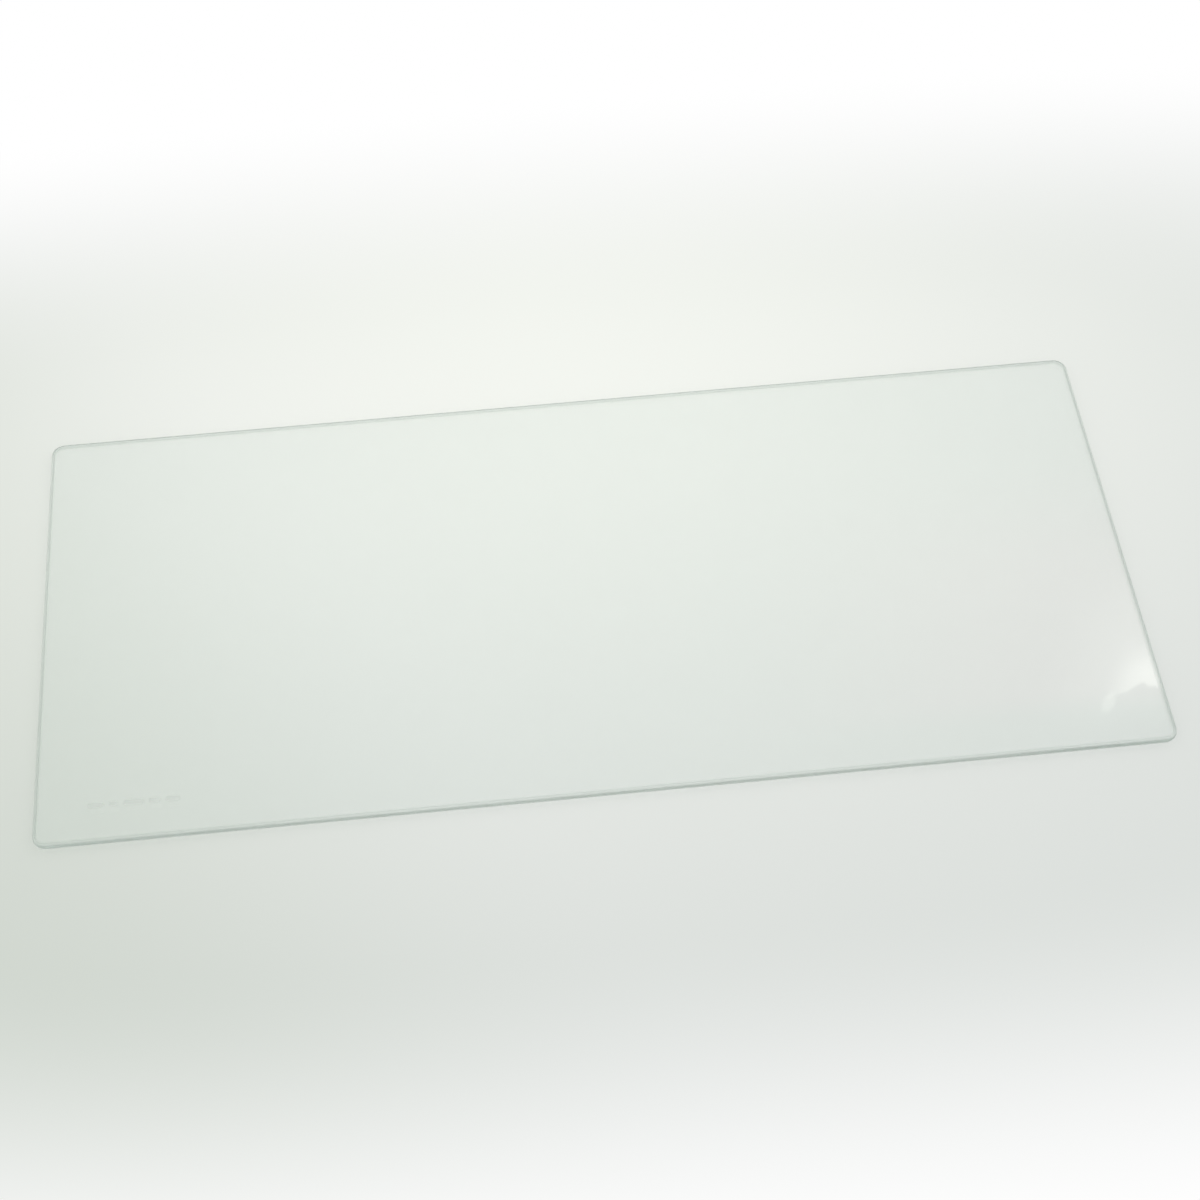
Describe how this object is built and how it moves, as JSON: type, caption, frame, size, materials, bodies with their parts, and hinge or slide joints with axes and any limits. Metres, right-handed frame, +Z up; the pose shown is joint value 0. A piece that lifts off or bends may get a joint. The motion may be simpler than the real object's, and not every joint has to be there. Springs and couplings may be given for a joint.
{
  "type": "fridge glass shelf",
  "caption": "Flat rectangular pane of clear tempered glass with rounded corners and a ground round edge, laid across the ledges inside a fridge as a shelf.",
  "frame": {"origin": "under the middle of the pane, on the face that it rests on", "axes": "+X along the length, +Y towards the back of the fridge, +Z up through the thickness"},
  "size_m": [0.47, 0.215, 0.004],
  "materials": {
    "glass": "clear with a faint green cast, polished faces and a fine-ground edge"
  },
  "bodies": {
    "root": {"glass_shelf": "glass"}
  },
  "joints": []
}
